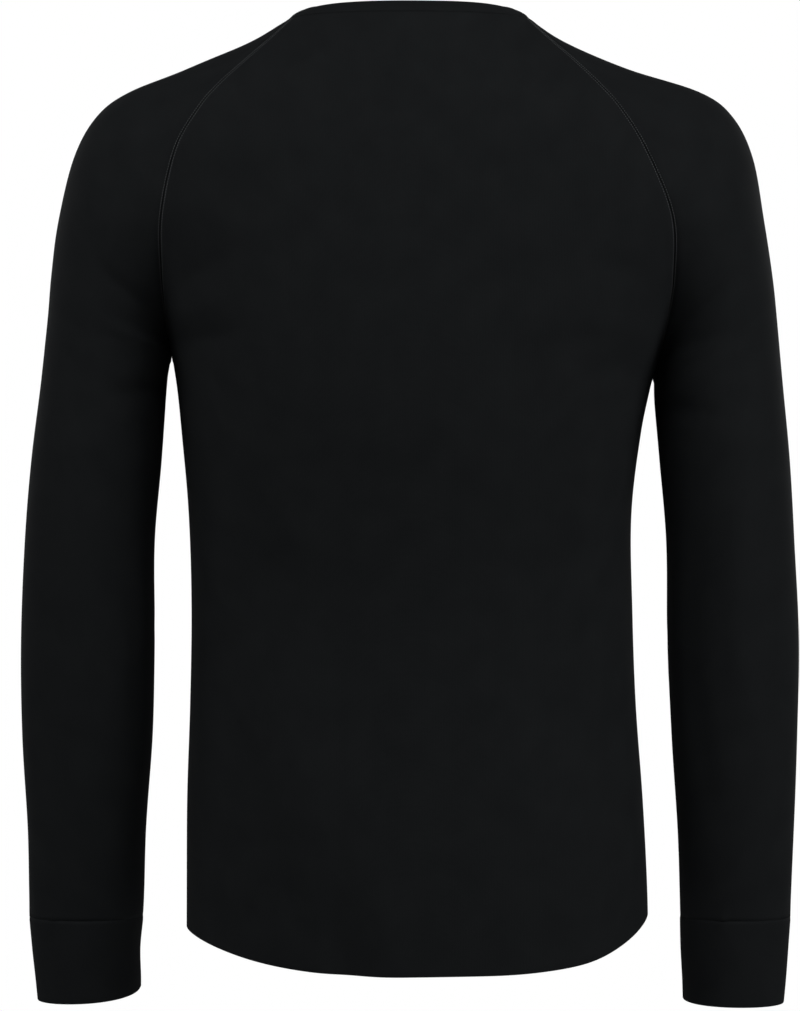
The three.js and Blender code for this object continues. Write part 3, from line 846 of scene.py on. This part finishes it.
def make_stitches(name, lines):
    """One mesh of several rows of stitches."""
    vertices, faces = [], []
    for points, normals in lines:
        more, more_faces = stitch_row(points, normals, **STITCH)
        faces += [[k + len(vertices) for k in face] for face in more_faces]
        vertices += more
    return new_mesh(name, vertices, faces)


def nodes_of(material):
    tree = material.node_tree
    return tree, tree.nodes["Principled BSDF"]


def new_node(tree, kind, **inputs):
    node = tree.nodes.new(kind)
    for name, value in inputs.items():
        node.inputs[name.replace("_", " ")].default_value = value
    return node


def knit_material(name, dark, light, wale, course, relief):
    """Fine black jersey: wales and courses as relief, and a slight unevenness of the dye."""
    material = bpy.data.materials.new(name)
    material.use_nodes = True
    tree, shader = nodes_of(material)
    uv = tree.nodes.new("ShaderNodeUVMap")
    uv.uv_map = "UVMap"
    blotches = new_node(tree, "ShaderNodeTexNoise", Scale=38.0, Detail=5.0, Roughness=0.6)
    tree.links.new(uv.outputs["UV"], blotches.inputs["Vector"])
    ramp_node = tree.nodes.new("ShaderNodeValToRGB")
    ramp_node.color_ramp.elements[0].position = 0.3
    ramp_node.color_ramp.elements[0].color = (*dark, 1)
    ramp_node.color_ramp.elements[1].position = 0.7
    ramp_node.color_ramp.elements[1].color = (*light, 1)
    tree.links.new(blotches.outputs["Fac"], ramp_node.inputs["Fac"])
    tree.links.new(ramp_node.outputs["Color"], shader.inputs["Base Color"])
    height = knit_height(tree, uv, wale, course)
    bump = new_node(tree, "ShaderNodeBump", Strength=0.5, Distance=relief)
    tree.links.new(height, bump.inputs["Height"])
    tree.links.new(bump.outputs["Normal"], shader.inputs["Normal"])
    shader.inputs["Roughness"].default_value = 0.88
    shader.inputs["Specular IOR Level"].default_value = 0.03
    return material


def knit_height(tree, uv, wale, course):
    """The relief of the loops: bands along the wales crossed by finer ones along the courses."""
    bands = []
    for direction, pitch in (("X", wale), ("Y", course)):
        wave = new_node(tree, "ShaderNodeTexWave", Scale=ONE_BAND / pitch, Distortion=0.6,
                        Detail=1.0)
        wave.bands_direction = direction
        tree.links.new(uv.outputs["UV"], wave.inputs["Vector"])
        bands.append(wave.outputs["Fac"])
    loops = tree.nodes.new("ShaderNodeMath")
    loops.operation = "MULTIPLY"
    tree.links.new(bands[0], loops.inputs[0])
    tree.links.new(bands[1], loops.inputs[1])
    return loops.outputs["Value"]


def plain_material(name, colour):
    material = bpy.data.materials.new(name)
    material.use_nodes = True
    _, shader = nodes_of(material)
    shader.inputs["Base Color"].default_value = (*colour, 1)
    shader.inputs["Roughness"].default_value = 0.6
    shader.inputs["Specular IOR Level"].default_value = 0.3
    return material


def finish_piece(piece, material, nodes):
    piece.data.materials.append(material)
    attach(piece, "root")
    if nodes:
        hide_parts(nodes)


def aim(thing, target):
    thing.rotation_euler = (Vector(target) - thing.location).to_track_quat("-Z", "Y").to_euler()


def soft_light(name, place, power):
    light = bpy.data.lights.new(name, "AREA")
    light.shape = "RECTANGLE"
    light.size, light.size_y = LIGHT_SIZE
    light.energy = power
    lamp = bpy.data.objects.new(name, light)
    bpy.context.scene.collection.objects.link(lamp)
    lamp.location = place
    aim(lamp, LIGHTS_AIM)


def make_studio():
    """A plain pale floor under the hanging garment, a pale world and soft lights."""
    world = bpy.data.worlds.new("studio")
    bpy.context.scene.world = world
    world.use_nodes = True
    tree = world.node_tree
    background = tree.nodes["Background"]
    background.inputs["Color"].default_value = (1, 1, 1, 1)
    path = tree.nodes.new("ShaderNodeLightPath")
    strength = tree.nodes.new("ShaderNodeMapRange")
    strength.inputs["To Min"].default_value = WORLD_LIGHT
    strength.inputs["To Max"].default_value = 1.0
    tree.links.new(path.outputs["Is Camera Ray"], strength.inputs["Value"])
    tree.links.new(strength.outputs["Result"], background.inputs["Strength"])
    half, level = FLOOR_HALF, FLOOR_LEVEL
    corners = [(-half, -half, level), (half, -half, level), (half, half, level),
               (-half, half, level)]
    floor = new_mesh("floor", np.array(corners) / MM, [[0, 1, 2, 3]])
    floor.data.materials.append(plain_material("floor_white", FLOOR_COLOUR))
    for name, place, power in STUDIO_LIGHTS:
        soft_light(name, place, power)


def make_camera():
    """A level camera behind the wearer, as far off and as high as the photo's."""
    focal_px, distance, side, height = 3424.7, 2500, -8, -354.4
    sensor = 36.0
    data = bpy.data.cameras.new("camera")
    data.sensor_fit = "AUTO"
    data.sensor_width = sensor
    data.lens = focal_px / PHOTO_HEIGHT * sensor
    data.dof.use_dof = False
    camera = bpy.data.objects.new("camera", data)
    bpy.context.scene.collection.objects.link(camera)
    camera.location = (side * MM, -distance * MM, height * MM)
    camera.rotation_euler = (math.pi / 2, 0, 0)
    bpy.context.scene.camera = camera


def main():
    bpy.context.scene.view_settings.view_transform = "Standard"
    panels = {face: make_panel(face) for face in ("back", "front")}
    sleeves = {side["name"]: make_sleeve(side) for side in SIDES}
    cuffs = {side["name"]: make_cuff(side) for side in SIDES}
    grids = {name: made[1] for name, made in sleeves.items()}
    band = make_neckband(neckline(panels["back"][1], panels["front"][1], grids))

    body_knit = knit_material("panel_knit", *KNIT_COLOURS, *PANEL_LOOPS)
    band_knit = knit_material("band_knit", *KNIT_COLOURS, *BAND_LOOPS)
    # The thread material's light grey base colour is a painted glint of the shiny polyester stitches
    thread = plain_material("thread", THREAD_GLINT_COLOUR)

    seams = {}
    for face in ("back", "front"):
        _, panel_grid, cap_rows = panels[face]
        for side in SIDES:
            _, sleeve_grid, sleeve_rows = sleeves[side["name"]]
            on_panel = edge_line(panel_grid, 0 if side is LEFT else -1, cap_rows, STITCH_INSET)
            on_sleeve = edge_line(sleeve_grid, 0 if face == "back" else -1, sleeve_rows, STITCH_INSET)
            name = f"flatlock_{face}_{side['name']}"
            seams[name] = make_stitches(name, [on_panel, on_sleeve])
            finish_piece(seams[name], thread, None)

    for name, (piece, _, _) in panels.items():
        finish_piece(piece, body_knit, name)
    for name, (piece, _, _) in sleeves.items():
        finish_piece(piece, body_knit, f"sleeve_{name}")
    for name, piece in cuffs.items():
        finish_piece(piece, band_knit, f"cuff_{name}")
    finish_piece(band, band_knit, "neckband")


main()
make_studio()
make_camera()
